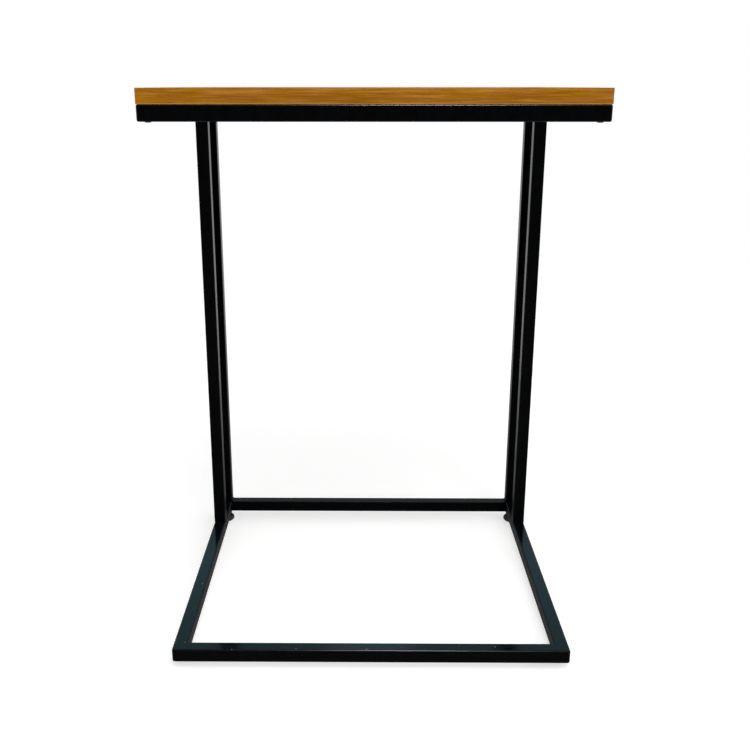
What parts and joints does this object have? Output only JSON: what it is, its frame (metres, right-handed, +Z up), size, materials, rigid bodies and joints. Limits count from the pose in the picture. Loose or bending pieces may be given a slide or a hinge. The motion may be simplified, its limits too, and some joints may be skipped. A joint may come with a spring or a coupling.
{
  "type": "c-shaped side table",
  "caption": "C-shaped side table: a laminated wood-grain board on a welded black square-tube frame, open at the front so that its base slides under a sofa or bed.",
  "frame": {"origin": "on the floor under the middle of the table", "axes": "+Z up, -Y out of the open side of the C, +X to the right of someone who faces that side"},
  "size_m": [0.458, 0.41, 0.63],
  "materials": {
    "black_powder_coat": "satin black powder coat on square steel tube",
    "particle_board": "raw particle board",
    "wood_grain_laminate": "satin laminate with a straight honey-brown wood grain",
    "backing_laminate": "matt backing laminate",
    "black_screw_steel": "black oxide",
    "zinc_plated_steel": "zinc plated",
    "foot_plastic": "moulded black plastic"
  },
  "bodies": {
    "table": {"base_front_rail": "black_powder_coat", "base_right_rail": "black_powder_coat", "base_rear_rail": "black_powder_coat", "base_left_rail": "black_powder_coat", "top_front_rail": "black_powder_coat", "top_right_rail": "black_powder_coat", "top_rear_rail": "black_powder_coat", "top_left_rail": "black_powder_coat", "left_front_upright": "black_powder_coat", "left_rear_upright": "black_powder_coat", "right_front_upright": "black_powder_coat", "right_rear_upright": "black_powder_coat", "upright_foot_welds": "black_powder_coat", "upright_head_welds": "black_powder_coat", "tabletop_core": "particle_board", "tabletop_top_laminate": "wood_grain_laminate", "tabletop_front_edge_band": "wood_grain_laminate", "tabletop_rear_edge_band": "wood_grain_laminate", "tabletop_right_edge_band": "wood_grain_laminate", "tabletop_left_edge_band": "wood_grain_laminate", "tabletop_underside_laminate": "backing_laminate", "board_screws": "black_screw_steel", "foot_inserts": "zinc_plated_steel"},
    "left_front_foot": {"left_front_foot_pad": "foot_plastic", "left_front_foot_stud": "zinc_plated_steel"},
    "left_rear_foot": {"left_rear_foot_pad": "foot_plastic", "left_rear_foot_stud": "zinc_plated_steel"},
    "right_front_foot": {"right_front_foot_pad": "foot_plastic", "right_front_foot_stud": "zinc_plated_steel"},
    "right_rear_foot": {"right_rear_foot_pad": "foot_plastic", "right_rear_foot_stud": "zinc_plated_steel"}
  },
  "joints": [
    {"name": "left_front_foot_screw_out", "type": "slide", "parent": "table", "child": "left_front_foot", "axis": [0, 0, -1], "range_m": [0, 0.006]},
    {"name": "left_rear_foot_screw_out", "type": "slide", "parent": "table", "child": "left_rear_foot", "axis": [0, 0, -1], "range_m": [0, 0.006]},
    {"name": "right_front_foot_screw_out", "type": "slide", "parent": "table", "child": "right_front_foot", "axis": [0, 0, -1], "range_m": [0, 0.006]},
    {"name": "right_rear_foot_screw_out", "type": "slide", "parent": "table", "child": "right_rear_foot", "axis": [0, 0, -1], "range_m": [0, 0.006]}
  ]
}
